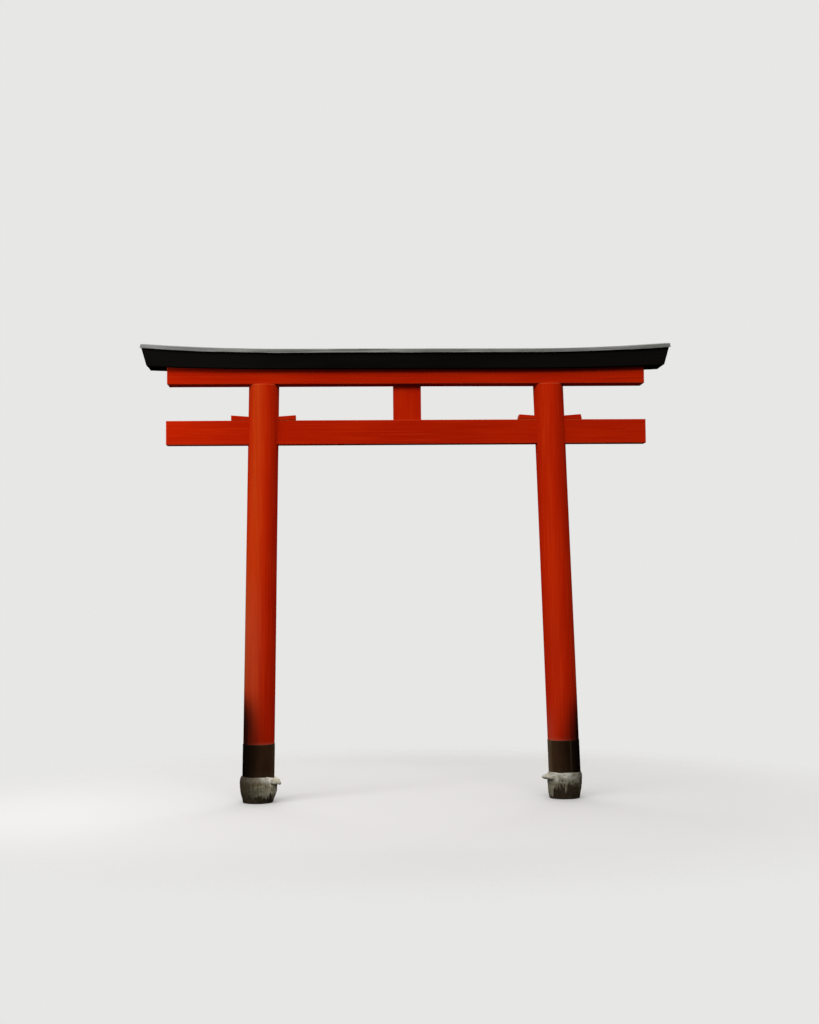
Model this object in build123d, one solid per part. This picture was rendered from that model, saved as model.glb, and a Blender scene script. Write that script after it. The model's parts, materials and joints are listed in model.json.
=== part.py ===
from build123d import *
import os
from math import radians, tan

# A small wooden shrine gate: two round posts that lean inwards, a tie beam wedged through them,
# a short strut, a lower and an upper lintel and two roof boards, all on mortar feet. The whole
# frame has settled a little towards the left.
# Millimetres. X runs along the gate from the left foot to the right foot, Y away from the viewer,
# Z up. The origin is the middle of the flat underside of the left foot, at ground level.

# Posts
column_spacing = 1476
inward_lean = 1.36
sideways_lean = 0.27
column_foot_diameter = 150
column_top_diameter = 146
column_top_z = 1999

# Mortar feet
mortar_height = 130
mortar_ground_diameter = 146
mortar_shoulder_diameter = 170
mortar_shoulder_z = 96
mortar_rim_diameter = 160
mortar_lip_diameter = 130
mortar_lip_reach = 112
mortar_lip_thickness = 16
mortar_lip_drop = 8

# Black sleeve round the foot of each post
sleeve_top_z = 278
sleeve_thickness = 2

# Tie beam through both posts
beam_bottom_z = 1709
beam_height = 117
beam_thickness = 62
beam_length = 2324

# Wedges above the beam, one from each side of each post
wedge_reach = 82
wedge_end_height = 25
wedge_slope = 4.2

# Strut in the middle
strut_width = 134
strut_thickness = 45

# Tenons that hold the posts and the strut in the timber above and below them
column_tenon_diameter = 60
column_tenon_height = 24
strut_tenon_width = 60
strut_tenon_thickness = 18
strut_tenon_height = 22

# Lower lintel
lower_lintel_height = 72
lower_lintel_thickness = 106
lower_lintel_length = 2308

# Upper lintel, with ends that rise outside the posts
upper_lintel_height = 75
upper_lintel_bottom_length = 2497
upper_lintel_top_length = 2546
upper_lintel_bottom_thickness = 158
upper_lintel_top_thickness = 170
straight_length = 1160
underside_radius = 15500
top_radius = 9700
roof_pitch = 10

# Roof boards
board_thickness = 18
board_front_overhang = 10
board_end_overhang = 6

# Figures worked out from the sizes above
inward_slope = tan(radians(inward_lean))
sideways_slope = tan(radians(sideways_lean))
beam_top_z = beam_bottom_z + beam_height
upper_lintel_bottom_z = column_top_z + lower_lintel_height
upper_lintel_top_z = upper_lintel_bottom_z + upper_lintel_height
board_length = upper_lintel_top_length + 2 * board_end_overhang
timber_middle_x = column_spacing / 2 - sideways_slope * beam_top_z
tall = 2 * upper_lintel_top_z

LEFT = 1
RIGHT = -1
SIDES = {"left": LEFT, "right": RIGHT}


def ground_x(side):
    """X of a post's axis at ground level. side is +1 on the left and -1 on the right,
    which is also the direction towards the middle of the gate."""
    return (1 - side) * column_spacing / 2


def axis_x(side, z):
    """X of a post's leaning axis at height z."""
    return ground_x(side) + (side * inward_slope - sideways_slope) * z


def column_radius(z):
    """Radius of the tapered post at height z."""
    share = (z - mortar_height) / (column_top_z - mortar_height)
    diameter = column_foot_diameter + share * (column_top_diameter - column_foot_diameter)
    return diameter / 2


def leaning_taper(side, z_low, z_high, extra_radius=0):
    """A round timber between two heights, on a post's axis, thicker than the post by extra_radius."""
    discs = []
    for z in (z_low, z_high):
        circle = Circle(column_radius(z) + extra_radius)
        discs.append(Pos(axis_x(side, z), 0, z) * circle)
    return Solid.make_loft([disc.face().outer_wire() for disc in discs], ruled=True)


def front_outline(points):
    """A face in the XZ plane from a list of (x, z) corners."""
    corners = [Vector(x, 0, z) for x, z in points]
    return Face(Wire.make_polygon(corners, close=True))


def through(face, thickness):
    """A face of the XZ plane made into a solid, centred on Y."""
    return extrude(Pos(0, thickness / 2, 0) * face, amount=thickness, dir=(0, -1, 0))


def make_mortar_foot(side):
    """A stub of mortar that swells to a rounded shoulder, with a tongue towards the passage."""
    with BuildSketch(Plane.XZ) as half_section:
        with BuildLine():
            widest = (mortar_shoulder_diameter / 2, mortar_shoulder_z)
            up_side = Line((mortar_ground_diameter / 2, 0), widest)
            rim = (mortar_rim_diameter / 2, mortar_height)
            shoulder = TangentArc(widest, rim, tangent=up_side % 1)
            Polyline(shoulder @ 1, (0, mortar_height), (0, 0), up_side @ 0)
        make_face()
    stub = revolve(half_section.sketch, axis=Axis.Z)
    lip_middle = mortar_lip_reach - mortar_lip_diameter / 2
    lip_z = mortar_height - mortar_lip_drop - mortar_lip_thickness / 2
    lip = Cylinder(mortar_lip_diameter / 2, mortar_lip_thickness)
    foot = stub + Pos(side * lip_middle, 0, lip_z) * lip
    return Pos(ground_x(side), 0, 0) * foot


def make_wedge(side, direction):
    """A long wedge on top of the beam. direction is -1 to the left of the post, +1 to its right."""
    inner_x = axis_x(side, beam_top_z)
    outer_x = inner_x + direction * (column_radius(beam_top_z) + wedge_reach)
    fall = abs(outer_x - inner_x) * tan(radians(wedge_slope))
    inner_top = beam_top_z + wedge_end_height - fall
    outer_top = beam_top_z + wedge_end_height
    side_view = front_outline([
        (inner_x, beam_top_z),
        (outer_x, beam_top_z),
        (outer_x, outer_top),
        (inner_x, inner_top),
    ])
    return through(side_view, beam_thickness)


def make_tie_beam():
    """The straight beam that passes through both posts."""
    middle = Pos(timber_middle_x, 0, beam_bottom_z + beam_height / 2)
    beam = middle * Box(beam_length, beam_thickness, beam_height)
    return beam - strut_tenon(beam_top_z - strut_tenon_height, beam_top_z)


def strut_tenon(z_low, z_high):
    """The strut's tongue between two heights."""
    block = Box(strut_tenon_width, strut_tenon_thickness, z_high - z_low)
    return Pos(timber_middle_x, 0, (z_low + z_high) / 2) * block


def make_strut():
    """The short board between the tie beam and the lower lintel, with a tongue at each end."""
    height = column_top_z - beam_top_z
    board = Pos(timber_middle_x, 0, beam_top_z + height / 2) * Box(strut_width, strut_thickness, height)
    tongues = strut_tenon(beam_top_z - strut_tenon_height, column_top_z + strut_tenon_height)
    return board + tongues


def column_tenon(side):
    """The round pin on top of a post."""
    pin = Cylinder(column_tenon_diameter / 2, column_tenon_height)
    return Pos(axis_x(side, column_top_z), 0, column_top_z + column_tenon_height / 2) * pin


def make_column(side, passing_through):
    """A leaning round post with its pin, cut for the beam and wedges that pass through it."""
    post = leaning_taper(side, mortar_height, column_top_z) + column_tenon(side)
    for piece in passing_through:
        post = post - piece
    return post


def make_sleeve(side):
    """A thin skin round the foot of a post, standing on the mortar."""
    outside = leaning_taper(side, mortar_height, sleeve_top_z, sleeve_thickness)
    return outside - leaning_taper(side, mortar_height, sleeve_top_z)


def curved_edge(z, radius, length):
    """A long edge that is straight in the middle and rises in an arc to each end, as three curves."""
    half_straight = straight_length / 2
    half_length = length / 2
    pieces = []
    for end in (-1, 1):
        start = Vector(timber_middle_x + end * half_straight, 0, z)
        outward = half_length - half_straight
        rise = radius - (radius**2 - outward**2) ** 0.5
        tip = Vector(timber_middle_x + end * half_length, 0, z + rise)
        pieces.append(Edge.make_tangent_arc(start, Vector(end, 0, 0), tip))
    straight = Edge.make_line(pieces[0] @ 0, pieces[1] @ 0)
    return [pieces[0], straight, pieces[1]]


def curved_plank(low_edge, high_edge):
    """The XZ face between two curved edges, closed by a line at each end."""
    left_end = Edge.make_line(low_edge[0] @ 1, high_edge[0] @ 1)
    right_end = Edge.make_line(low_edge[2] @ 1, high_edge[2] @ 1)
    return Face(Wire(low_edge + high_edge + [left_end, right_end]))


def make_lower_lintel(cut_by):
    """The lintel on the posts: flat below, following the upper lintel's curve above."""
    top = curved_edge(upper_lintel_bottom_z, underside_radius, lower_lintel_length)
    half_length = lower_lintel_length / 2
    corners = [Vector(timber_middle_x + end * half_length, 0, column_top_z) for end in (-1, 1)]
    left_end = Edge.make_line(top[0] @ 1, corners[0])
    right_end = Edge.make_line(top[2] @ 1, corners[1])
    bottom = Edge.make_line(corners[0], corners[1])
    lintel = through(Face(Wire(top + [left_end, right_end, bottom])), lower_lintel_thickness)
    for piece in cut_by:
        lintel = lintel - piece
    return lintel


def roof_slab(away, thickness):
    """A slab on one slope of the roof, upwards from the underside of the roof boards.
    away is -1 in front of the ridge and +1 behind it."""
    slope = tan(radians(roof_pitch))
    eave_y = away * (upper_lintel_top_thickness / 2 + board_front_overhang)
    eave_z = upper_lintel_top_z - slope * board_front_overhang
    front_view = curved_plank(
        curved_edge(eave_z, top_radius, board_length),
        curved_edge(eave_z + thickness, top_radius, board_length),
    )
    up_the_slope = Vector(0, -eave_y, slope * abs(eave_y))
    return extrude(Pos(0, eave_y, 0) * front_view, amount=up_the_slope.length, dir=up_the_slope)


def slanted_block():
    """A long block with the slanted front and rear faces of the upper lintel. It goes on twice as
    high as those faces, so that it also holds the raised ends."""
    low_half = upper_lintel_bottom_thickness / 2
    high_half = upper_lintel_top_thickness - low_half
    high_z = upper_lintel_bottom_z + 2 * upper_lintel_height
    corners = [
        Vector(0, -low_half, upper_lintel_bottom_z),
        Vector(0, low_half, upper_lintel_bottom_z),
        Vector(0, high_half, high_z),
        Vector(0, -high_half, high_z),
    ]
    section = Pos(timber_middle_x - board_length / 2, 0, 0) * Face(Wire.make_polygon(corners, close=True))
    return extrude(section, amount=board_length, dir=(1, 0, 0))


def make_upper_lintel():
    """The heavy black lintel: slanted ends, slightly slanted faces and a top pitched both ways."""
    ridge_rise = tan(radians(roof_pitch)) * upper_lintel_top_thickness / 2
    end_slant = (upper_lintel_top_length - upper_lintel_bottom_length) / upper_lintel_height
    ridge_length = upper_lintel_top_length + end_slant * ridge_rise
    front_view = curved_plank(
        curved_edge(upper_lintel_bottom_z, underside_radius, upper_lintel_bottom_length),
        curved_edge(upper_lintel_top_z + ridge_rise, top_radius, ridge_length),
    )
    lintel = through(front_view, 2 * upper_lintel_top_thickness) & slanted_block()
    return lintel - roof_slab(-1, tall) - roof_slab(1, tall)


parts = {}
parts["tie_beam"] = make_tie_beam()
parts["central_strut"] = make_strut()
for name, side in SIDES.items():
    outer_wedge = make_wedge(side, -side)
    inner_wedge = make_wedge(side, side)
    parts[name + "_outer_wedge"] = outer_wedge
    parts[name + "_inner_wedge"] = inner_wedge
    parts[name + "_column"] = make_column(side, [parts["tie_beam"], outer_wedge, inner_wedge])
    parts[name + "_foot_sleeve"] = make_sleeve(side)
    parts[name + "_mortar_foot"] = make_mortar_foot(side)
column_pins = [column_tenon(side) for side in SIDES.values()]
parts["lower_lintel"] = make_lower_lintel(column_pins + [parts["central_strut"]])
parts["upper_lintel"] = make_upper_lintel()
parts["front_roof_board"] = roof_slab(-1, board_thickness)
parts["rear_roof_board"] = roof_slab(1, board_thickness)

os.makedirs("parts", exist_ok=True)
for name, solid in parts.items():
    export_step(solid, "parts/" + name + ".step")
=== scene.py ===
import json
from collections import namedtuple
from math import cos, pi, radians, sin, tan
from types import SimpleNamespace

import bpy
import bmesh
import numpy as np
from mathutils import Matrix, Vector


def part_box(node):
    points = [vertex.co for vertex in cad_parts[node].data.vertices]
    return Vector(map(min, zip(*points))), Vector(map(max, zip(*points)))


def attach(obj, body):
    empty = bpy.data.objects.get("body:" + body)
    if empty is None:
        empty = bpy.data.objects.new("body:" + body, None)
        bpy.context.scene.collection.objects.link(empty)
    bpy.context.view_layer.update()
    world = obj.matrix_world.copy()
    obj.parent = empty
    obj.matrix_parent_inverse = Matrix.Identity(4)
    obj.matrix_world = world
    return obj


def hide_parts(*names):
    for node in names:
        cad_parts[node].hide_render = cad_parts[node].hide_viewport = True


# A small wooden shrine gate: two leaning round posts on mortar feet, a tie beam wedged through them,
# a strut, a red and a black lintel and two weathered roof boards.
# Metres. X runs along the gate from the left foot to the right foot, Y away from the viewer, Z up.
# The origin is the middle of the left foot's underside.

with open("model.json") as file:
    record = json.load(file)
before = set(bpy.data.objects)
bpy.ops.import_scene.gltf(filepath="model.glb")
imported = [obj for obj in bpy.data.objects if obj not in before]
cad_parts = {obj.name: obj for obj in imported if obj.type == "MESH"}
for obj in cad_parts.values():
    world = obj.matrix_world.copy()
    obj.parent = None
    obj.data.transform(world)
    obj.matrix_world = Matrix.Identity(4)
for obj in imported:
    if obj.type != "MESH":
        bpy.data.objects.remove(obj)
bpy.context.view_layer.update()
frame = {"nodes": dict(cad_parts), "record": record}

# The axes along which a grain or a run can lie: along the gate and upwards
ALONG = 0
UPWARD = 2

# Which way along X the passage lies from each post
SIDES = {"left": 1, "right": -1}

# Sizes that the frame gives
foot_x = {}
for mount in frame["record"]["mounts"]:
    foot_x[mount["name"].replace("_foot", "")] = mount["pos_m"][0]
mortar_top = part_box("left_mortar_foot")[1].z
sleeve_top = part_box("left_foot_sleeve")[1].z
beam_low, beam_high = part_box("tie_beam")
beam_half = (beam_high.y - beam_low.y) / 2
gate_middle_x = (beam_low.x + beam_high.x) / 2
lintel_low, lintel_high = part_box("lower_lintel")
post_top = lintel_low.z

# Round the sleeve the mortar's rim lies this far below the foot's top
rim_drop = 0.005
mortar_rim = mortar_top - rim_drop

# Sizes, curves and slopes of the lintels and roof boards
straight_half = 0.580
underside_radius = 15.5
top_radius = 9.7
roof_slope = tan(radians(10))
lower_lintel_height = 0.072
lower_lintel_top = lintel_low.z + lower_lintel_height
upper_lintel_height = 0.075
upper_lintel_top = lower_lintel_top + upper_lintel_height
upper_lintel_bottom_length = 2.497
upper_lintel_top_length = 2.546
upper_lintel_bottom_thickness = 0.158
upper_lintel_top_thickness = 0.170
board_thickness = 0.018
board_front_overhang = 0.010
board_end_slant = 0.004
board_joint_half = 0.0006

# How far apart the points of a mesh are, along a long timber and round its outline
ring_step = 0.0105
outline_step = 0.003

# Points across a rounded arris, rings over a rounded end and on its face, and the size of the smallest
# of those, as a share of the face
ARRIS_POINTS = 6
END_ROUND_RINGS = 5
END_FACE_RINGS = 8
END_FACE_START = 0.02

# Where a drying check has points of its own, in check widths from its middle, and how far on either
# side they stand in for the outline's points
CHECK_POINTS = (-1, -0.5, -0.22, 0, 0.22, 0.5, 1)
CHECK_CLEARING = 1.3

# A drying check: a fine long groove. place is where it lies on the outline, start and end are heights
# or distances along the piece.
Check = namedtuple("Check", "place start end depth width")

# A closed outline: points, their normals, how far each is on an arris from 0 to 1, and each check with
# every point's distance from it
Outline = namedtuple("Outline", "points normals arris checks")

# A bar: its outline, its rings of points, how far each point is on an arris, and each ring's scale,
# which is 1 on the sides and smaller towards the middle of an end
Bar = namedtuple("Bar", "outline rings arris scale")


def smooth(value, low, high):
    """0 below low, 1 above high and an eased ramp between them. low may be the larger one."""
    share = np.clip((value - low) / (high - low), 0, 1)
    return share * share * (3 - 2 * share)


def bell(value, middle, width):
    """1 at the middle, and little beyond a width or two on either side."""
    return np.exp(-((value - middle) / width) ** 2)


def lengthways(axis, long, wide):
    """Three sizes, the one along the axis being long."""
    sizes = [wide] * 3
    sizes[axis] = long
    return sizes


# Large numbers that scatter the cells of a grid over a table
SCATTER = (73856093, 19349663, 83492791)


def lumps(points, sizes, seed):
    """Smooth random numbers from -1 to 1 at points, in lumps of about these sizes in metres."""
    table = np.random.default_rng(seed).uniform(-1, 1, 4096)
    place = points / np.asarray(sizes)
    cell = np.floor(place).astype(np.int64)
    part = place - cell
    ease = part * part * (3 - 2 * part)
    total = np.zeros(points.shape[:-1])
    for corner in np.ndindex(2, 2, 2):
        index = np.bitwise_xor.reduce((cell + corner) * SCATTER, axis=-1)
        weight = np.prod(np.where(corner, ease, 1 - ease), axis=-1)
        total += weight * table[index % len(table)]
    return total


def unit(vectors):
    return vectors / np.maximum(np.linalg.norm(vectors, axis=-1, keepdims=True), 1e-12)


# Building closed meshes from rings of points


def resampled(points, normals, arris, checks):
    """A closed outline with more points beside each of its checks."""
    ring = np.vstack([points, points[:1]])
    run = np.concatenate([[0], np.cumsum(np.linalg.norm(np.diff(ring, axis=0), axis=1))])
    whole = run[-1]
    run = run[:-1]

    def apart(here, there):
        """Signed distance from there to here, the shorter way round."""
        return (here - there + whole / 2) % whole - whole / 2

    kept = list(run)
    places = []
    for check in checks:
        place = run[np.argmin(np.linalg.norm(points - np.asarray(check.place), axis=1))]
        places.append(place)
        kept = [here for here in kept if abs(apart(here, place)) > CHECK_CLEARING * check.width]
        kept += [(place + share * check.width) % whole for share in CHECK_POINTS]
    kept = np.sort(np.array(kept))

    def at(values):
        return np.interp(kept, np.append(run, whole), np.append(values, values[0]))

    new_points = np.stack([at(part) for part in points.T], axis=1)
    new_normals = unit(np.stack([at(part) for part in normals.T], axis=1))
    distances = [apart(kept, place) for place in places]
    return Outline(new_points, new_normals, at(arris), list(zip(checks, distances)))


def rectangle(half_width, bottom, top):
    """The corners of a rectangle that lies half on each side of the middle."""
    return [(-half_width, bottom), (half_width, bottom), (half_width, top), (-half_width, top)]


def rounded_outline(corners, radius, step=outline_step, checks=()):
    """The outline of a sawn timber: straight sides and rounded arrises."""
    rounds = []
    for i, corner in enumerate(corners):
        here = Vector(corner)
        to_last = (Vector(corners[i - 1]) - here).normalized()
        to_next = (Vector(corners[(i + 1) % len(corners)]) - here).normalized()
        half_angle = to_last.angle(to_next) / 2
        middle = here + (to_last + to_next).normalized() * radius / sin(half_angle)
        start = here + to_last * radius / tan(half_angle)
        end = here + to_next * radius / tan(half_angle)
        rounds.append((middle, start, end))
    points = []
    normals = []
    arris = []
    for i, (middle, start, end) in enumerate(rounds):
        first = (start - middle).normalized()
        last = (end - middle).normalized()
        for share in np.linspace(0, 1, ARRIS_POINTS):
            normal = first.slerp(last, share)
            points.append(middle + normal * radius)
            normals.append(normal)
            arris.append(sin(pi * share) ** 0.5)
        following = rounds[(i + 1) % len(rounds)][1]
        pieces = max(1, round((following - end).length / step))
        for piece in range(1, pieces):
            points.append(end.lerp(following, piece / pieces))
            normals.append(last)
            arris.append(0.0)
    return resampled(np.array(points), np.array(normals), np.array(arris), checks)


def round_outline(radius, step, checks=()):
    """The outline of a round timber."""
    count = round(2 * pi * radius / step)
    angle = np.arange(count) * 2 * pi / count
    normals = np.stack([np.cos(angle), np.sin(angle)], axis=1)
    return resampled(normals * radius, normals, np.zeros(count), checks)


def bar(outline, length, edge, step=ring_step):
    """A bar that starts at 0 and runs along the first coordinate, with ends rounded by edge."""
    turn = np.linspace(0, pi / 2, END_ROUND_RINGS)
    face = np.linspace(END_FACE_START, 1, END_FACE_RINGS + 1)[:-1]
    start = np.concatenate([0 * face, edge * (1 - np.cos(turn))])
    beside_edge = 1.5 * edge
    middle = np.linspace(edge, length - edge, max(3, round(length / step)))[1:-1]
    middle = np.concatenate([[beside_edge], middle, [length - beside_edge]])
    place = np.concatenate([start, middle, length - start[::-1]])

    def mirrored(on_face, on_turn, between):
        first = np.concatenate([0 * face + on_face, 0 * turn + on_turn])
        return np.concatenate([first, 0 * middle + between, first[::-1]])

    inset = mirrored(edge, edge * (1 - np.sin(turn)), 0)
    scale = mirrored(face, 1, 1)
    centre = outline.points.mean(axis=0)
    flat = outline.points[None] - outline.normals[None] * inset[:, None, None] - centre
    rings = np.zeros((len(place), len(outline.points), 3))
    rings[..., 0] = place[:, None]
    rings[..., 1:] = centre + flat * scale[:, None, None]
    side_arris = outline.arris[None] * (scale == 1)[:, None]
    return Bar(outline, rings, np.maximum(side_arris, mirrored(0, 1, 0)[:, None]), scale)


def drying_checks(timber, seed):
    """How deep each point of a bar lies in a drying check, and how far it shifts sideways so that each
    check follows the grain instead of a straight line."""
    sway_reach = 0.0035
    sway_width = 0.012
    depth = np.zeros(timber.rings.shape[:2])
    shift = np.zeros(timber.rings.shape[:2])
    place = timber.rings[..., 0]
    on_axis = timber.rings * (1, 0, 0)
    for number, (check, distance) in enumerate(timber.outline.checks):
        fade = 0.25 * (check.end - check.start)
        along = smooth(place, check.start, check.start + fade) * smooth(place, check.end, check.end - fade)
        broken = 0.75 + 0.25 * lumps(on_axis, (0.05, 1, 1), 40 + number)
        groove = np.clip(1 - np.abs(distance) / (check.width / 2), 0, 1)
        depth = np.maximum(depth, check.depth * groove[None] * along * broken * timber.scale[:, None])
        sway = sway_reach * lumps(on_axis, (0.16, 1, 1), seed + number)
        shift += sway * bell(distance[None], 0, sway_width)
    return depth, shift


def outward(rings):
    """Unit normals of a grid of rings."""
    along = np.gradient(rings, axis=0)
    around = np.roll(rings, -1, axis=1) - np.roll(rings, 1, axis=1)
    normal = unit(np.cross(around, along))
    middle = len(rings) // 2
    from_centre = rings[middle] - rings[middle].mean(axis=0)
    return normal * np.sign((normal[middle] * from_centre).sum())


def relief(points, grain, seed):
    """Height of the planed, slightly wavy surface of a timber."""
    wave_height = 0.0006
    ripple_height = 0.00022
    waves = lumps(points, lengthways(grain, 0.7, 0.09), seed)
    ripples = lumps(points, lengthways(grain, 0.22, 0.011), seed + 1)
    return wave_height * waves + ripple_height * ripples


def added(name, data):
    """A new object in the scene."""
    made = bpy.data.objects.new(name, data)
    bpy.context.scene.collection.objects.link(made)
    return made


def piece_of(node, rings, material, marks, joined=False):
    """A finished piece that stands for a node, made from a grid of rings, with marks on its points that
    its material reads. joined joins the last ring to the first one, and otherwise both are filled."""
    count, around = rings.shape[:2]
    index = np.arange(count * around).reshape(count, around)
    beside = np.roll(index, -1, axis=1)
    quads = np.stack([index, beside, np.roll(beside, -1, axis=0), np.roll(index, -1, axis=0)], axis=-1)
    if joined:
        faces = quads.reshape(-1, 4).tolist()
    else:
        faces = quads[:-1].reshape(-1, 4).tolist()
        faces.append(index[0][::-1].tolist())
        faces.append(index[-1].tolist())
    mesh = bpy.data.meshes.new(node + "_finished")
    mesh.from_pydata(rings.reshape(-1, 3).tolist(), [], faces)
    for name, values in marks.items():
        mark = mesh.attributes.new(name, "FLOAT", "POINT")
        mark.data.foreach_set("value", np.ascontiguousarray(values, dtype=np.float32).ravel())
    work = bmesh.new()
    work.from_mesh(mesh)
    bmesh.ops.recalc_face_normals(work, faces=work.faces)
    work.to_mesh(mesh)
    work.free()
    mesh.shade_smooth()
    mesh.set_sharp_from_angle(angle=radians(50))
    mesh.materials.append(material)
    piece = added(node + "_finished", mesh)
    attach(piece, "root")
    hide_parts(node)
    return piece


# Materials

# Where the colour version of a Mix node has its sockets
MIX_FIRST = 6
MIX_SECOND = 7
MIX_RESULT = 2


class Nodes:
    """A node tree, with a short call for each kind of node that is used more than once."""

    def __init__(self, tree):
        self.tree = tree

    def put(self, value, socket):
        """Gives a socket another node's output, a colour or a number."""
        if isinstance(value, bpy.types.NodeSocket):
            self.tree.links.new(value, socket)
        elif isinstance(value, tuple):
            socket.default_value = (*value, 1.0)
        else:
            socket.default_value = value

    def node(self, kind, *values, **settings):
        """A new node with these settings, and with these values in its first sockets."""
        made = self.tree.nodes.new(kind)
        for name, setting in settings.items():
            setattr(made, name, setting)
        for socket, value in zip(made.inputs, values):
            self.put(value, socket)
        return made

    def fill(self, node, values):
        """Gives a node's sockets their values by name."""
        for name, value in values.items():
            self.put(value, node.inputs[name])

    def upward_part(self, vector):
        return self.node("ShaderNodeSeparateXYZ", vector).outputs["Z"]

    def ramp(self, value, low, high, start=0.0, end=1.0):
        """Eases from start to end as value goes from low to high."""
        made = self.node("ShaderNodeMapRange", value, low, high, start, end,
                         interpolation_type="SMOOTHSTEP")
        return made.outputs["Result"]

    def calculate(self, operation, first, second):
        return self.node("ShaderNodeMath", first, second, operation=operation).outputs[0]

    def times(self, first, second):
        return self.calculate("MULTIPLY", first, second)

    def plus(self, first, second):
        return self.calculate("ADD", first, second)

    def mix(self, share, first, second):
        """A colour between two colours."""
        made = self.node("ShaderNodeMix", share, data_type="RGBA")
        self.put(first, made.inputs[MIX_FIRST])
        self.put(second, made.inputs[MIX_SECOND])
        return made.outputs[MIX_RESULT]

    def mix_shaders(self, share, first, second):
        return self.node("ShaderNodeMixShader", share, first, second).outputs[0]

    def background_ray(self):
        """1 for rays that should see the pale background: those of the camera, of gloss and of glass."""
        path = self.node("ShaderNodeLightPath").outputs
        seen = self.calculate("MAXIMUM", path["Is Camera Ray"], path["Is Glossy Ray"])
        return self.calculate("MAXIMUM", seen, path["Is Transmission Ray"])


class Finish(Nodes):
    """The material of a kind of piece, its slot and the axis of its grain."""

    def __init__(self, name, slot, grain):
        self.material = bpy.data.materials.new(name)
        self.material.use_nodes = True
        super().__init__(self.material.node_tree)
        self.slot = slot
        self.grain = grain
        self.shader = self.tree.nodes["Principled BSDF"]
        self.place = self.node("ShaderNodeTexCoord").outputs["Object"]
        self.colour = None

    def noise(self, long, wide, detail, offset):
        """Noise from 0 to 1, in lumps this long along the grain and this wide across it in metres."""
        mapping = self.node("ShaderNodeMapping", self.place)
        scale = [1 / size for size in lengthways(self.grain, long, wide)]
        self.fill(mapping, {"Scale": scale, "Location": [offset, offset * 1.7, offset * 2.3]})
        made = self.node("ShaderNodeTexNoise", mapping.outputs["Vector"])
        self.fill(made, {"Scale": 1.0, "Detail": detail})
        return made.outputs["Fac"]

    def mark(self, name):
        """A value kept on the mesh's points."""
        return self.node("ShaderNodeAttribute", attribute_name=name).outputs["Fac"]

    def height(self):
        return self.upward_part(self.place)

    def lying_dust(self, streak, least, most):
        """How much dust lies on faces that look up."""
        facing_up = self.upward_part(self.node("ShaderNodeNewGeometry").outputs["Normal"])
        return self.times(self.ramp(facing_up, 0.6, 0.95), self.ramp(streak, 0.3, 0.7, least, most))

    def cover(self, colour, share):
        """Lays a share of a colour over the colour so far."""
        self.colour = self.mix(share, self.colour, colour)

    def finish(self, roughness, specular, coarse, fine, coarse_share, depth):
        """Connects the shader. Its relief is a coarse and a fine noise, and is depth metres deep."""
        relief_height = self.plus(self.times(coarse, coarse_share), self.times(fine, 1 - coarse_share))
        bump = self.node("ShaderNodeBump")
        self.fill(bump, {"Strength": 1.0, "Distance": depth, "Height": relief_height})
        self.fill(self.shader, {
            "Base Color": self.colour,
            "Roughness": roughness,
            "Specular IOR Level": specular,
            "Normal": bump.outputs["Normal"],
        })
        return self


def vermilion(name, grain, painted_light_gain):
    """Old red paint on planed timber."""
    red = (0.427, 0.0134, 0.0006)
    deep_red = (0.383, 0.0101, 0.0005)
    warm_red = (0.453, 0.0210, 0.0020)
    dark_run = (0.315, 0.0080, 0.0004)
    sheen_tint = (0.420, 0.085, 0.012)
    pink_dust_and_light = (0.400, 0.072, 0.042)
    arris_wear_and_highlight = (0.520, 0.065, 0.020)
    grime = (0.007, 0.0032, 0.0018)
    dust = (0.200, 0.105, 0.062)

    # painted_light_gain makes lighter copies of the paint, which paint more light on the strut and the
    # posts than on the beams.
    def brighter(colour):
        return tuple(channel * painted_light_gain for channel in colour)

    paint = Finish(name, "vermilion_timber", grain)
    cloud = paint.noise(0.55, 0.10, 4.0, 1.0)
    streak = paint.noise(0.30, 0.007, 3.0, 2.0)
    fine = paint.noise(0.12, 0.0022, 2.0, 3.0)
    paint.colour = paint.mix(paint.ramp(cloud, 0.35, 0.65), brighter(deep_red), brighter(red))
    paint.cover(brighter(warm_red), paint.ramp(streak, 0.48, 0.68, 0.0, 0.52))
    paint.cover(brighter(dark_run), paint.ramp(streak, 0.44, 0.32, 0.0, 0.30))
    # Painted sheen: a paler tint where the mark says light falls.
    paint.cover(sheen_tint, paint.times(paint.mark("chalk"), paint.ramp(streak, 0.25, 0.75, 0.7, 1.3)))
    # Lighter arrises: worn paint, and painted highlights where the arrises catch the light.
    paint.cover(arris_wear_and_highlight, paint.times(paint.mark("arris"), paint.ramp(cloud, 0.30, 0.60, 0.25, 0.75)))
    paint.cover(dust, paint.lying_dust(streak, 0.15, 0.45))
    # Painted shade: darker where the mark says shade falls.
    paint.cover(grime, paint.times(paint.mark("grime"), paint.ramp(streak, 0.2, 0.8, 1.08, 0.92)))
    # Pink dust, which on the posts is partly painted sheen and painted light.
    paint.cover(pink_dust_and_light, paint.mark("dust"))
    # Painted shade inside the drying checks.
    paint.cover(grime, paint.mark("crack"))
    return paint.finish(paint.ramp(streak, 0.3, 0.7, 0.42, 0.55), 0.0, streak, fine, 0.7, 0.0006)


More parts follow.
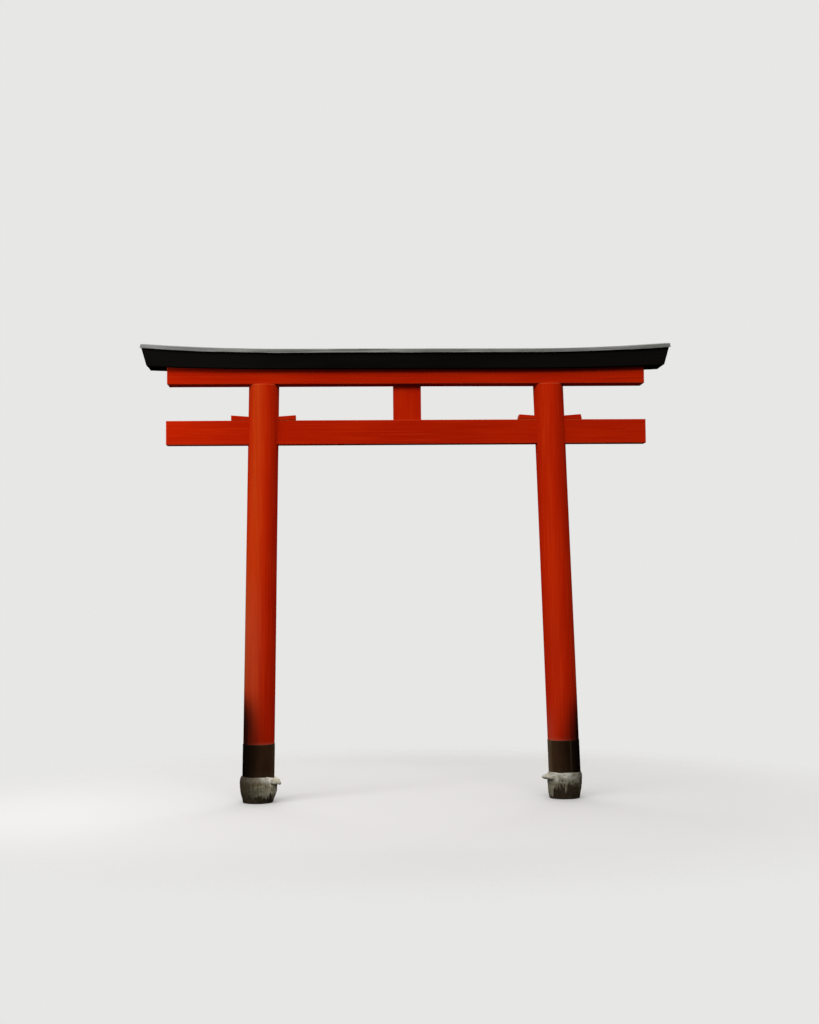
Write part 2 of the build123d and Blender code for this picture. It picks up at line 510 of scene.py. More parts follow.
def black_paint():
    """Matt black paint on planed timber."""
    black = (0.0053, 0.0046, 0.0039)
    deep_black = (0.0035, 0.0030, 0.0025)
    arris_wear_and_highlight = (0.014, 0.012, 0.010)
    dust = (0.030, 0.026, 0.021)
    paint = Finish("black_timber_paint", "black_timber", ALONG)
    cloud = paint.noise(0.60, 0.10, 4.0, 5.0)
    streak = paint.noise(0.35, 0.008, 3.0, 6.0)
    fine = paint.noise(0.12, 0.0025, 2.0, 7.0)
    paint.colour = paint.mix(paint.ramp(cloud, 0.35, 0.65), deep_black, black)
    # Lighter arrises: worn paint, and painted highlights.
    paint.cover(arris_wear_and_highlight, paint.times(paint.mark("arris"), 0.30))
    paint.cover(dust, paint.lying_dust(streak, 0.2, 0.6))
    return paint.finish(0.60, 0.0, streak, fine, 0.7, 0.0006)


def weathered_wood():
    """Bare silver-grey boards with raised grain, stains and worn arrises."""
    dark_grey = (0.152, 0.154, 0.143)
    pale_grey = (0.256, 0.257, 0.247)
    stain = (0.080, 0.076, 0.070)
    bleached = (0.310, 0.308, 0.298)
    arris_wear_and_highlight = (0.320, 0.322, 0.312)
    crack = (0.020, 0.018, 0.015)
    wood = Finish("weathered_board", "weathered_board", ALONG)
    cloud = wood.noise(0.22, 0.05, 4.0, 8.0)
    stripe = wood.noise(0.30, 0.0045, 4.0, 9.0)
    fibre = wood.noise(0.06, 0.0011, 2.0, 10.0)
    wood.colour = wood.mix(wood.ramp(cloud, 0.3, 0.7), dark_grey, pale_grey)
    wood.cover(stain, wood.ramp(stripe, 0.52, 0.30, 0.0, 0.60))
    wood.cover(bleached, wood.ramp(fibre, 0.5, 0.8, 0.0, 0.35))
    # Lighter arrises: worn paint, and painted highlights.
    wood.cover(arris_wear_and_highlight, wood.times(wood.mark("arris"), 0.55))
    # Painted shade inside the drying checks.
    wood.cover(crack, wood.times(wood.mark("crack"), 0.9))
    return wood.finish(0.85, 0.06, stripe, fibre, 0.6, 0.0011)


def sleeve_paint():
    """Old brown-black paint on the sheet round the foot of a post."""
    brown_black = (0.035, 0.0158, 0.0074)
    brown = (0.051, 0.0240, 0.0115)
    dull_brown = (0.050, 0.028, 0.016)
    worn_edge = (0.110, 0.075, 0.050)
    splashes = (0.070, 0.052, 0.036)
    grime = (0.0030, 0.0022, 0.0014)
    dust = (0.105, 0.078, 0.048)
    skin = Finish("sleeve_paint", "black_sleeve", UPWARD)
    cloud = skin.noise(0.12, 0.05, 4.0, 11.0)
    streak = skin.noise(0.14, 0.006, 3.0, 12.0)
    fine = skin.noise(0.003, 0.0012, 2.0, 13.0)
    skin.colour = skin.mix(skin.ramp(cloud, 0.3, 0.7), brown_black, brown)
    skin.cover(dull_brown, skin.ramp(streak, 0.50, 0.78, 0.0, 0.45))
    skin.cover(worn_edge, skin.times(skin.mark("arris"), 0.6))
    low = skin.ramp(skin.height(), mortar_top + 0.030, mortar_top, 0.0, 0.35)
    skin.cover(splashes, skin.times(low, skin.ramp(streak, 0.3, 0.6)))
    # Painted shade on the outer side near the foot.
    skin.cover(grime, skin.mark("grime"))
    # Painted light on the side towards the passage, and dust along the lap seam.
    skin.cover(dust, skin.mark("dust"))
    return skin.finish(skin.ramp(streak, 0.3, 0.7, 0.42, 0.60), 0.0, streak, fine, 0.6, 0.0007)


def mortar():
    """Lime-stained mortar, pale at the rim, greenish below, with dark runs and a damp brown foot."""
    green_grey = (0.190, 0.176, 0.109)
    grey = (0.370, 0.343, 0.231)
    dark_run = (0.066, 0.058, 0.039)
    pale_run_and_painted_light = (0.520, 0.488, 0.361)
    dull_rim = (0.385, 0.352, 0.250)
    white_rim = (0.740, 0.722, 0.635)
    specks = (0.480, 0.465, 0.410)
    ochre = (0.200, 0.150, 0.070)
    lime = (0.580, 0.540, 0.440)
    damp_brown = (0.040, 0.029, 0.020)
    wet_brown = (0.020, 0.0130, 0.0085)
    grime = (0.030, 0.022, 0.013)
    stone = Finish("stained_mortar", "mortar", UPWARD)
    patch = stone.noise(0.020, 0.024, 5.0, 14.0)
    speck = stone.noise(0.004, 0.004, 3.0, 15.0)
    sand = stone.noise(0.0011, 0.0011, 2.0, 16.0)
    run = stone.noise(0.085, 0.0065, 3.0, 17.0)
    height = stone.height()
    side = stone.mix(stone.ramp(patch, 0.32, 0.68), green_grey, grey)
    side = stone.mix(stone.ramp(run, 0.56, 0.36, 0.0, 0.75), side, dark_run)
    side = stone.mix(stone.ramp(run, 0.54, 0.70, 0.0, 0.60), side, pale_run_and_painted_light)
    # Paler lower down: painted light where less light reaches near the ground.
    side = stone.mix(stone.ramp(height, 0.085, 0.045, 0.0, 0.32), side, pale_run_and_painted_light)
    rim = stone.mix(stone.ramp(patch, 0.30, 0.66), dull_rim, white_rim)
    ragged = stone.plus(height, stone.times(stone.plus(patch, run), 0.030))
    ragged = stone.plus(ragged, stone.mark("rim"))
    stone.colour = stone.mix(stone.ramp(ragged, 0.108, 0.140), side, rim)
    stone.cover(specks, stone.ramp(speck, 0.54, 0.74, 0.0, 0.40))
    stone.cover(ochre, stone.mark("stain"))
    # Pale on the tongue, and painted light just under it where its shade falls.
    stone.cover(lime, stone.mark("lip"))
    damp = stone.mix(stone.ramp(run, 0.58, 0.42), damp_brown, wet_brown)
    ragged_soak = stone.plus(stone.times(stone.mark("soak"), 1.25), stone.times(run, 2.2))
    stone.cover(damp, stone.ramp(ragged_soak, 1.42, 1.98))
    # Painted shade on the outer side, and a darkening all over.
    stone.cover(grime, stone.mark("grime"))
    return stone.finish(0.92, 0.02, speck, sand, 0.6, 0.0022)


# Posts, what has settled on them, and the light and shade painted on them

# How much shade, sheen and light is painted on each post and its sleeve. A dark patch of painted shade on
# its outer side is full below one height over the sleeve and gone above another, and a film of painted
# shade fades away upwards. Both grow with a power of how far round the outer side a point lies. The haze is
# a thin painted shade that covers the post's whole height. The painted sheen is in front and on the outer
# side, the two painted lights are towards the passage, and seam is where the sleeve's lap lies.
WEAR = {
    "left": SimpleNamespace(
        patch=0.36, patch_top=0.27, patch_bottom=0.07, patch_power=3.5,
        film=0.66, film_fade=0.22, film_power=1.0, haze=0.0,
        chalk=0.27, low_dust=0.0, sleeve_dust=0.25, seam=radians(118),
    ),
    "right": SimpleNamespace(
        patch=0.045, patch_top=0.23, patch_bottom=0.05, patch_power=6.0,
        film=0.95, film_fade=0.14, film_power=1.4, haze=0.12,
        chalk=0.06, low_dust=0.35, sleeve_dust=0.75, seam=radians(-71),
    ),
}


class Post:
    """A leaning post's axis and radius, measured on its node's mesh."""

    def __init__(self, name):
        self.name = name
        self.side = SIDES[name]
        self.wear = WEAR[name]
        self.foot_x, self.foot_radius = self.ring(mortar_top)
        self.top_x, self.top_radius = self.ring(post_top)

    def ring(self, height):
        """The middle and the radius of the node's round edge at this height."""
        vertices = frame["nodes"][self.name + "_column"].data.vertices
        level = [v.co.x for v in vertices if abs(v.co.z - height) < 0.0005]
        return (min(level) + max(level)) / 2, (max(level) - min(level)) / 2

    def share(self, z):
        return (z - mortar_top) / (post_top - mortar_top)

    def x(self, z):
        return self.foot_x + (self.top_x - self.foot_x) * self.share(z)

    def radius(self, z):
        return self.foot_radius + (self.top_radius - self.foot_radius) * self.share(z)

    def outwardness(self, points):
        """1 on the side that looks out of the gate, -1 on the side of the passage."""
        reach = points[..., 0] - self.x(points[..., 2])
        across = np.hypot(reach, points[..., 1])
        return -self.side * reach / np.maximum(across, 1e-6)


def painted_shade_on(post, points):
    """Painted shade that darkens the outer side of a foot, and less of it higher up."""
    wear = post.wear
    height = np.maximum(points[..., 2] - sleeve_top, 0)
    side = 1 + post.outwardness(points)
    patch = wear.patch * smooth(height, wear.patch_top, wear.patch_bottom) * side ** wear.patch_power
    film = wear.film * np.maximum(np.exp(-height / wear.film_fade) - 0.08, 0) * side ** wear.film_power
    return 1 - np.exp(-(patch + film + wear.haze * side))


def shade_under_eave(points, top, amount):
    """Painted shade in the sheltered strip just below an overhang."""
    fade = 0.012
    return 1 - np.exp(-amount * np.exp(-np.maximum(top - points[..., 2], 0) / fade))


def weather_on(post, points):
    """Marks for painted shade, for painted sheen in front and on the outer side, and for pink dust low down
    with painted light in it.
    """
    wear = post.wear
    height = points[..., 2]
    front = smooth(-points[..., 1], -0.02, 0.05)
    edge = np.maximum(post.outwardness(points), 0) ** 5
    band = smooth(height, 0.38, 0.60) * smooth(height, 1.40, 0.95)
    across = (points[..., 0] - post.x(height)) / post.radius(height)
    sunny = front * bell(across, -0.40, 0.50)
    # The painted sheen: a paler tint where light falls on the front, and along the outer side.
    chalk = wear.chalk * (sunny * smooth(height, 0.20, 0.65) + 2.6 * edge * band)
    low = smooth(height, 1.15, 0.80)
    rim = smooth(height, sleeve_top + 0.016, sleeve_top + 0.002)
    # Pink dust: painted sheen low down, real dust just above the sleeve, and low_dust painted on the side
    # towards the passage.
    dust = wear.chalk * low * (0.6 * sunny + 1.1 * edge) + 0.5 * rim
    inner = smooth(-post.outwardness(points), 0.35, 1.0)
    dust += wear.low_dust * inner * smooth(height, sleeve_top + 0.22, sleeve_top + 0.04)
    # Painted shade on the outer side towards the foot.
    grime = painted_shade_on(post, points)
    return {"grime": grime, "chalk": chalk, "dust": dust * (1 - grime)}


# Timber pieces


def finish_timber(node, timber, placed, finish, seed, marks=None):
    """Gives a bar, whose rings are placed, its checks, waves and planing marks, and makes it a piece."""
    full_crack = 0.003
    normals = outward(placed)
    sideways = unit(np.cross(normals, np.gradient(placed, axis=0)))
    depth, shift = drying_checks(timber, seed)
    height = relief(placed, finish.grain, seed) * (0.3 + 0.7 * (timber.scale == 1)[:, None])
    finished = placed + normals * (height - depth)[..., None] + sideways * shift[..., None]
    # crack is how deep a point lies in a check, for the painted shade inside it.
    all_marks = {"arris": timber.arris, "crack": depth / full_crack, **(marks or {})}
    return piece_of(node, finished, finish.material, all_marks)


def column(post, finish):
    """A round post, slimmer upwards, whose axis leans."""
    edge = 0.003
    around_step = 0.0022
    checks = [
        Check((0.0723, 0.0200), 0.55, 1.35, 0.003, 0.0013),
        Check((-0.050, 0.0559), 0.15, 1.10, 0.004, 0.0016),
        Check((0.0200, 0.0723), 0.30, 1.45, 0.005, 0.0020),
    ]
    timber = bar(round_outline(post.foot_radius, around_step, checks), post_top - mortar_top, edge)
    along, x, y = np.moveaxis(timber.rings, -1, 0)
    z = mortar_top + along
    thickness = post.radius(z) / post.foot_radius
    placed = np.stack([post.x(z) + x * thickness, y * thickness, z], axis=-1)
    marks = weather_on(post, placed)
    made = finish_timber(post.name + "_column", timber, placed, finish, 10 + post.side, marks)
    cut_mortise(made, post)


wedge_slope = tan(radians(4.2))
mortise_gap = 0.0008
mortise_reach = 0.12


def cut_mortise(piece, post):
    """Cuts the slot that the tie beam and its two wedges pass through."""
    middle = post.x(beam_high.z)
    wedge_low, wedge_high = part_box(post.name + "_outer_wedge")
    wedge_length = wedge_high.x - wedge_low.x
    bottom = beam_low.z - mortise_gap
    side_top = wedge_high.z - wedge_slope * (wedge_length - mortise_reach) + mortise_gap
    middle_top = wedge_high.z - wedge_slope * wedge_length + mortise_gap
    outline = [
        (middle - mortise_reach, bottom),
        (middle + mortise_reach, bottom),
        (middle + mortise_reach, side_top),
        (middle, middle_top),
        (middle - mortise_reach, side_top),
    ]
    half = beam_half + mortise_gap
    points = [(x, y, z) for y in (-half, half) for x, z in outline]
    count = len(outline)
    faces = [list(range(count))[::-1], list(range(count, 2 * count))]
    for i in range(count):
        after = (i + 1) % count
        faces.append([i, after, after + count, i + count])
    mesh = bpy.data.meshes.new("mortise")
    mesh.from_pydata(points, [], faces)
    cutter = added("mortise", mesh)
    cut = piece.modifiers.new("mortise", "BOOLEAN")
    cut.object = cutter
    cut.operation = "DIFFERENCE"
    cut.solver = "EXACT"
    graph = bpy.context.evaluated_depsgraph_get()
    result = bpy.data.meshes.new_from_object(piece.evaluated_get(graph))
    piece.modifiers.clear()
    piece.data = result
    bpy.data.objects.remove(cutter)


def tie_beam(finish):
    arris_radius = 0.0028
    length = beam_high.x - beam_low.x
    checks = [
        Check((-beam_half, beam_low.z + 0.066), length - 0.180, length - 0.100, 0.002, 0.0010),
        Check((beam_half, beam_low.z + 0.052), -0.2, 0.40, 0.003, 0.0013),
        Check((beam_half, beam_low.z + 0.080), length - 0.45, length + 0.2, 0.003, 0.0013),
    ]
    corners = rectangle(beam_half, beam_low.z, beam_high.z)
    timber = bar(rounded_outline(corners, arris_radius, checks=checks), length, arris_radius)
    finish_timber("tie_beam", timber, timber.rings + (beam_low.x, 0, 0), finish, 20)


# How far each wedge's end leans in at its top, and how far its free end is lifted off the beam
WEDGES = {
    "left_outer_wedge": (0.0, 0.0008),
    "left_inner_wedge": (0.0, 0.0030),
    "right_inner_wedge": (0.0055, 0.0022),
    "right_outer_wedge": (0.0045, 0.0008),
}


def wedge(node, post, finish, seed):
    """A wedge driven in above the beam, its thick end outside the post."""
    arris_radius = 0.0015
    side_gap = 0.0006
    low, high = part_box(node)
    lean, lift = WEDGES[node]
    direction = post.side if "inner" in node else -post.side
    inner = low.x if direction == 1 else high.x
    length = high.x - low.x
    half = (high.y - low.y) / 2 - side_gap
    thick = high.z - low.z
    outline = rounded_outline(rectangle(half, 0, thick), arris_radius)
    timber = bar(outline, length, arris_radius, step=0.004)
    along, y, z = np.moveaxis(timber.rings, -1, 0)
    out = along / length
    up = z / thick
    top = thick - wedge_slope * (length - along)
    bottom = lift * out
    x = inner + direction * (along - lean * up * out)
    placed = np.stack([x, y, beam_high.z + bottom + (top - bottom) * up], axis=-1)
    marks = {"dust": smooth(along, length - arris_radius, length)}
    finish_timber(node, timber, placed, finish, seed, marks)


def strut(finish):
    arris_radius = 0.0022
    end_radius = 0.0008
    low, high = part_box("central_strut")
    half_depth = (high.y - low.y) / 2
    corners = rectangle((high.x - low.x) / 2, -half_depth, half_depth)
    timber = bar(rounded_outline(corners, arris_radius), post_top - beam_high.z, end_radius, step=0.005)
    placed = timber.rings[..., [1, 2, 0]] + (gate_middle_x, 0, beam_high.z)
    # Painted shade just below the lower lintel.
    marks = {"grime": shade_under_eave(placed, post_top, 0.15)}
    finish_timber("central_strut", timber, placed, finish, 30, marks)


def rise(x, radius):
    """How far a curved edge has risen at distance x from the middle of the gate."""
    outside = np.maximum(np.abs(x) - straight_half, 0)
    return radius - np.sqrt(radius**2 - outside**2)


def lower_lintel(finish):
    """The red lintel, whose top follows the curve of the black one."""
    arris_radius = 0.0030
    half = (lintel_high.y - lintel_low.y) / 2
    length = lintel_high.x - lintel_low.x
    checks = [
        Check((-half, lintel_low.z + 0.020), length - 0.24, length + 0.2, 0.003, 0.0012),
        Check((half, lintel_low.z + 0.028), -0.2, 0.45, 0.003, 0.0013),
        Check((0.012, lintel_low.z), 0.60, 1.50, 0.004, 0.0016),
    ]
    corners = rectangle(half, lintel_low.z, lower_lintel_top)
    timber = bar(rounded_outline(corners, arris_radius, checks=checks), length, arris_radius)
    placed = timber.rings + (lintel_low.x, 0, 0)
    share = (placed[..., 2] - lintel_low.z) / lower_lintel_height
    # Painted shade just below the black lintel.
    marks = {"grime": shade_under_eave(placed, lower_lintel_top, 0.6)}
    placed[..., 2] += share * rise(placed[..., 0] - gate_middle_x, underside_radius)
    finish_timber("lower_lintel", timber, placed, finish, 40, marks)


def upper_lintel(finish):
    """The black lintel: its faces lean out a little and its ends are cut on a slant."""
    arris_radius = 0.0030
    face_step = 0.0036
    bottom_half = upper_lintel_bottom_thickness / 2
    top_half = upper_lintel_top_thickness / 2
    bottom = lower_lintel_top
    top = upper_lintel_top
    ridge = top + roof_slope * top_half
    corners = [(-bottom_half, bottom), (bottom_half, bottom), (top_half, top), (0, ridge), (-top_half, top)]
    middle_half = (bottom_half + top_half) / 2
    length = upper_lintel_bottom_length
    checks = [
        Check((-middle_half, bottom + 0.045), length - 0.42, length + 0.2, 0.004, 0.0016),
        Check((middle_half, bottom + 0.036), -0.2, 0.60, 0.004, 0.0018),
    ]
    timber = bar(rounded_outline(corners, arris_radius, face_step, checks), length, arris_radius)
    along, y, z = np.moveaxis(timber.rings, -1, 0)
    share = (z - bottom) / upper_lintel_height
    growth = 1 + share * (upper_lintel_top_length / upper_lintel_bottom_length - 1)
    x = (along - length / 2) * growth
    lift = (1 - share) * rise(x, underside_radius) + share * rise(x, top_radius)
    placed = np.stack([gate_middle_x + x, y, z + lift], axis=-1)
    finish_timber("upper_lintel", timber, placed, finish, 50)


def roof_board(node, away, finish, seed):
    """A weathered board on one slope of the roof. away is -1 in front and 1 behind."""
    arris_radius = 0.0022
    around_step = 0.0022
    low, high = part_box(node)
    length = high.x - low.x
    eave = upper_lintel_top_thickness / 2 + board_front_overhang
    bottom = upper_lintel_top - roof_slope * board_front_overhang
    ridge = bottom + roof_slope * eave
    corners = [
        (away * eave, bottom),
        (away * board_joint_half, ridge),
        (away * board_joint_half, ridge + board_thickness),
        (away * eave, bottom + board_thickness),
    ]
    surface = (bottom + ridge) / 2 + board_thickness
    checks = [
        Check((away * 0.030, surface + 0.010), -0.2, 0.45, 0.006, 0.0030),
        Check((away * 0.062, surface), length - 0.60, length + 0.2, 0.006, 0.0030),
        Check((away * 0.048, surface), 0.80, 1.60, 0.004, 0.0024),
        Check((away * 0.072, surface), 0.35, 1.05, 0.004, 0.0020),
        Check((away * eave, bottom + 0.011), 0.50, 1.25, 0.003, 0.0012),
        Check((away * eave, bottom + 0.007), 1.40, length + 0.2, 0.003, 0.0012),
    ]
    timber = bar(rounded_outline(corners, arris_radius, around_step, checks), length, arris_radius)
    along, y, z = np.moveaxis(timber.rings, -1, 0)
    x = along - length / 2
    up = np.clip((z - bottom) / board_thickness, 0, 1)
    near_end = smooth(np.abs(x), length / 2 - 0.02, length / 2)
    x = x - np.sign(x) * near_end * board_end_slant * up
    placed = np.stack([gate_middle_x + x, y, z + rise(x, top_radius)], axis=-1)
    finish_timber(node, timber, placed, finish, seed)


# Sleeves

SLEEVE_POINTS = 240
SLEEVE_LEVELS = 64
LEVELS_PER_INSIDE_LEVEL = 6
sleeve_radius = 0.075
sleeve_skin = 0.0012
sleeve_rim = 0.0008
seam_step = 0.0008
dent_depth = 0.00045
rim_unevenness = 0.0009

# How far the sleeve reaches down into the mortar
sleeve_tuck = 0.006


def sleeve_profile():
    """Heights up the outside, over the rim and down the inside, and how far out each is from 0 to 1."""
    outside_z = np.linspace(mortar_rim - sleeve_tuck, sleeve_top - sleeve_rim, SLEEVE_LEVELS)
    turn = np.linspace(0, pi, 7)[1:-1]
    inside_z = outside_z[::-LEVELS_PER_INSIDE_LEVEL]
    z = np.concatenate([outside_z, sleeve_top - sleeve_rim + sleeve_rim * np.sin(turn), inside_z])
    out = np.concatenate([0 * outside_z + 1, 0.5 + 0.5 * np.cos(turn), 0 * inside_z])
    return np.repeat(z[:, None], SLEEVE_POINTS, axis=1), out[:, None]


def sleeve(post, finish):
    """The thin sheet wrapped round the foot of a post, with a lapped seam."""
    count = np.arange(SLEEVE_POINTS)
    angle = post.wear.seam + count * 2 * pi / SLEEVE_POINTS
    wrap = seam_step * (1 - count / SLEEVE_POINTS)
    z, out = sleeve_profile()
    x = np.cos(angle) + 0 * z
    y = np.sin(angle) + 0 * z
    cylinder = np.stack([sleeve_radius * x, sleeve_radius * y, z], axis=-1)
    dents = dent_depth * lumps(cylinder, (0.03, 0.03, 0.05), 60 + post.side)
    edge = rim_unevenness * lumps(cylinder, (0.02, 0.02, 9.0), 62 + post.side)
    radius = post.radius(z) + (sleeve_skin + wrap[None] + dents) * out
    uneven_z = z + edge * smooth(z, sleeve_top - 0.02, sleeve_top)
    placed = np.stack([post.x(z) + radius * x, radius * y, uneven_z], axis=-1)
    rim = smooth(z, sleeve_top - 0.0022, sleeve_top - sleeve_rim)
    seam = bell(np.minimum(count, count[::-1]) / SLEEVE_POINTS, 0, 0.0035)[None]
    # Painted light on the side towards the passage, and painted shade on the outer side.
    passage_light = smooth(-post.outwardness(placed), 0.74, 1.0) * post.wear.sleeve_dust
    marks = {
        "arris": np.maximum(rim, 0.6 * seam) * out,
        "grime": painted_shade_on(post, placed),
        "dust": np.maximum(passage_light, 0.15 * seam) * out,
    }
    piece_of(post.name + "_foot_sleeve", placed, finish.material, marks, joined=True)


# Mortar feet

MORTAR_POINTS = 320
MORTAR_SIDE_LEVELS = 60
MORTAR_LEVELS = 190

# The gap between the mortar's rim and the post, and the radius of the smallest rings
collar_gap = 0.0015
smallest_radius = 0.001

# The tongue is part of a round pat of mortar, whose middle lies this far out. Its edge is ragged by a
# share of its reach.
pat_radius = 0.065
pat_middle = 0.047
tongue_raggedness = 0.12
tongue_edge_radius = 0.085

# Height, width, length and seed of the lumps on the mortar, and how deep its drip marks are
MORTAR_LUMPS = (
    (0.0017, 0.030, 0.026, 72),
    (0.0008, 0.009, 0.008, 74),
    (0.00035, 0.0034, 0.0034, 76),
)
drip_depth = 0.0012

# The shape, the stains and the painted light and shade of each foot. Its shoulder starts to round in at a
# height, is slimmer there than the part, and tapers to the base. It swells below its tongue, and shifts
# along the gate towards its base. The tongue's root is at a height, reaches above and below it, droops
# towards its tip, is hollow underneath and more or less pale. lime: how much painted light
# lies just under the tongue, where its shade falls. rim: how far down the pale rim reaches. soak, crown:
# how high damp soaks, and how much higher in front and behind. pale_runs: lime over the damp, as the place
# across the foot from -1 to 1, the width and the drop. ochre: a stain on the rim in front and behind.
# film, patch, patch_power: a darkening all over, and painted shade that grows with a power towards the
# outer side.
FEET = {
    "left": SimpleNamespace(
        shoulder=0.086, slimmer=0.0, taper=0.015, swell=0.0065, shift=0.0,
        tongue=0.108, above=0.021, below=0.016, droop=0.019, hollow=0.5, pale=0.70,
        lime=0.0, rim=-0.003, soak=0.026, crown=0.004, pale_runs=(),
        ochre=0.65, film=0.0, patch=1.05, patch_power=1.9,
    ),
    "right": SimpleNamespace(
        shoulder=0.099, slimmer=0.002, taper=0.011, swell=0.0, shift=-0.006,
        tongue=0.103, above=0.011, below=0.013, droop=0.004, hollow=0.6, pale=0.25,
        lime=0.60, rim=0.006, soak=0.022, crown=0.044,
        pale_runs=((-0.82, 0.11, 0.025), (-0.12, 0.035, 0.050)),
        ochre=0.0, film=0.55, patch=0.12, patch_power=4.0,
    ),
}


def mortar_outline(foot, half_width, collar):
    """Distance from the axis and height along the foot's profile, from the underside to the top."""
    shoulder = half_width - foot.slimmer
    base = shoulder - foot.taper
    steps = np.linspace(0, 1, MORTAR_SIDE_LEVELS)
    side = base + (shoulder - base) * np.sin(pi / 2 * steps)
    turn = pi / 2 * steps[1:]
    rounded = collar + (shoulder - collar) * np.cos(turn)
    round_z = foot.shoulder + (mortar_rim - foot.shoulder) * np.sin(turn)
    reach = np.concatenate([[smallest_radius], side, rounded, [smallest_radius]])
    level = np.concatenate([[0], foot.shoulder * steps, round_z, [mortar_rim]])
    run = np.concatenate([[0], np.cumsum(np.hypot(np.diff(reach), np.diff(level)))])
    even = np.linspace(0, run[-1], MORTAR_LEVELS)
    return np.interp(even, run, reach)[:, None], np.interp(even, run, level)[:, None]


def tongue_reach(foot, half_width, level, angle, seed):
    """How far the thin tongue towards the passage pushes each point of a foot out, and how long the
    tongue is without its ragged edge."""
    inside = np.maximum(pat_radius**2 - (pat_middle * np.sin(angle)) ** 2, 0)
    beyond = pat_middle * np.cos(angle) + np.sqrt(inside) - half_width
    beyond = np.where(np.cos(angle) > 0, np.maximum(beyond, 0), 0)
    edge = np.stack([np.cos(angle), np.sin(angle), 0 * angle], axis=-1) * tongue_edge_radius
    ragged = 1 + tongue_raggedness * lumps(edge, (0.020, 0.020, 1), seed)
    above = np.clip((level - foot.tongue) / foot.above, 0, 1)
    below = np.clip((foot.tongue - level) / foot.below, 0, 1)
    bulge = np.sqrt(1 - above**2) * (1 - below ** (1 / foot.hollow)) ** foot.hollow
    return bulge * (beyond * ragged), beyond.max()


def mortar_marks(post, foot, placed, across, towards, push, drips):
    """Marks for what has run down, soaked into and settled on a foot, and for the light and shade painted
    on it.
    """
    z = placed[..., 2]
    fine_drips = lumps(placed, (0.0045, 0.0045, 0.200), 90 + post.side)
    soaked = foot.soak + foot.crown * smooth(np.abs(across + 0.02), 0.95, 0.50)
    soaked += 0.016 * drips + 0.016 * fine_drips
    for place, width, drop in foot.pale_runs:
        soaked -= drop * bell(across, place, width)
    # Painted light just under the tongue, towards the passage, where its shade falls.
    lime = foot.lime * smooth(towards, 0.60, 0.95) * smooth(z, 0.068, 0.090)
    # outer grows the painted shade towards the outer side.
    outer = 1 + post.outwardness(placed)
    return {
        "lip": np.maximum(smooth(push, 0.004, 0.016) * foot.pale, lime),
        "rim": 0 * push + foot.rim,
        "stain": foot.ochre * bell(across, -0.15, 0.42) * smooth(z, 0.075, 0.095),
        "soak": smooth(z, soaked + 0.036, soaked - 0.030),
        "grime": 1 - np.exp(-foot.film - foot.patch * outer ** foot.patch_power),
    }


def mortar_foot(post, finish):
    """A lumpy stub of mortar with a rounded shoulder and a thin tongue towards the passage."""
    foot = FEET[post.name]
    node = post.name + "_mortar_foot"
    low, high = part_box(node)
    half_width = (high.y - low.y) / 2
    reach, level = mortar_outline(foot, half_width, post.foot_radius + collar_gap)
    angle = np.arange(MORTAR_POINTS) * 2 * pi / MORTAR_POINTS
    towards = np.cos(angle)
    push, tongue_length = tongue_reach(foot, half_width, level, angle, 70 + post.side)
    swell = foot.swell * smooth(level, 0.0, 0.060) * smooth(level, 0.096, 0.076)
    radius = reach + push + swell * smooth(towards, 0.2, 1.0)
    z = level - push / tongue_length * foot.droop
    lean = foot.shift * (1 - 0.6 * z / mortar_top)
    x = foot_x[post.name] + radius * post.side * towards + lean
    placed = np.stack([x, radius * np.sin(angle), z], axis=-1)
    size = np.zeros(z.shape)
    for height, wide, tall, seed in MORTAR_LUMPS:
        size += height * lumps(placed, (wide, wide, tall), seed + post.side)
    drips = lumps(placed, (0.008, 0.008, 0.120), 78 + post.side)
    size += drip_depth * drips * smooth(z, 0.112, 0.07)
    size *= smooth(z, 0.0, 0.006)
    placed = placed + outward(placed) * size[..., None]
    placed[..., 2] = np.maximum(placed[..., 2], 0)
    across = (placed[..., 0] - foot_x[post.name]) / half_width
    marks = mortar_marks(post, foot, placed, across, towards, push, drips)
    piece_of(node, placed, finish.material, marks)


# Make the pieces

# Lighter copies of the red paint for the strut and each post: painted light, more of it on the right post.
STRUT_PAINTED_LIGHT = 1.05
POST_PAINTED_LIGHT = {"left": 1.15, "right": 1.30}

red_along = vermilion("vermilion_along_the_gate", ALONG, 1.0)
red_strut = vermilion("vermilion_strut", UPWARD, STRUT_PAINTED_LIGHT)
black = black_paint()
board_wood = weathered_wood()
sleeve_finish = sleeve_paint()
mortar_finish = mortar()

tie_beam(red_along)
strut(red_strut)
lower_lintel(red_along)
upper_lintel(black)
roof_board("front_roof_board", -1, board_wood, 54)
roof_board("rear_roof_board", 1, board_wood, 57)
posts = {name: Post(name) for name in SIDES}
for side_name, post in posts.items():
    red_post = vermilion("vermilion_" + side_name + "_post", UPWARD, POST_PAINTED_LIGHT[side_name])
    column(post, red_post)
    sleeve(post, sleeve_finish)
    mortar_foot(post, mortar_finish)
for number, node in enumerate(WEDGES):
    wedge(node, posts[node.split("_")[0]], red_along, 80 + number)


# Floor, light and camera

PALE = (0.50, 0.495, 0.49)
BACKDROP = (0.80, 0.80, 0.79)
BOUNCING = (0.032, 0.031, 0.029)
WARM_WHITE = (1.0, 0.99, 0.97)
floor_reach = 40.0

# How far from the gate's middle the floor starts to fade out, and where it is gone
fade_start = 1.45
fade_end = 2.7

# The world's light grows from one strength to another between two heights over the horizon
low_sky = radians(11)
high_sky = radians(21)
low_sky_strength = 0.08
high_sky_strength = 0.85

floor_mesh = bpy.data.meshes.new("floor")
floor_corners = [(x, y, 0) for x, y in rectangle(floor_reach, -floor_reach, floor_reach)]
floor_mesh.from_pydata(floor_corners, [], [(0, 1, 2, 3)])
floor = added("floor", floor_mesh)


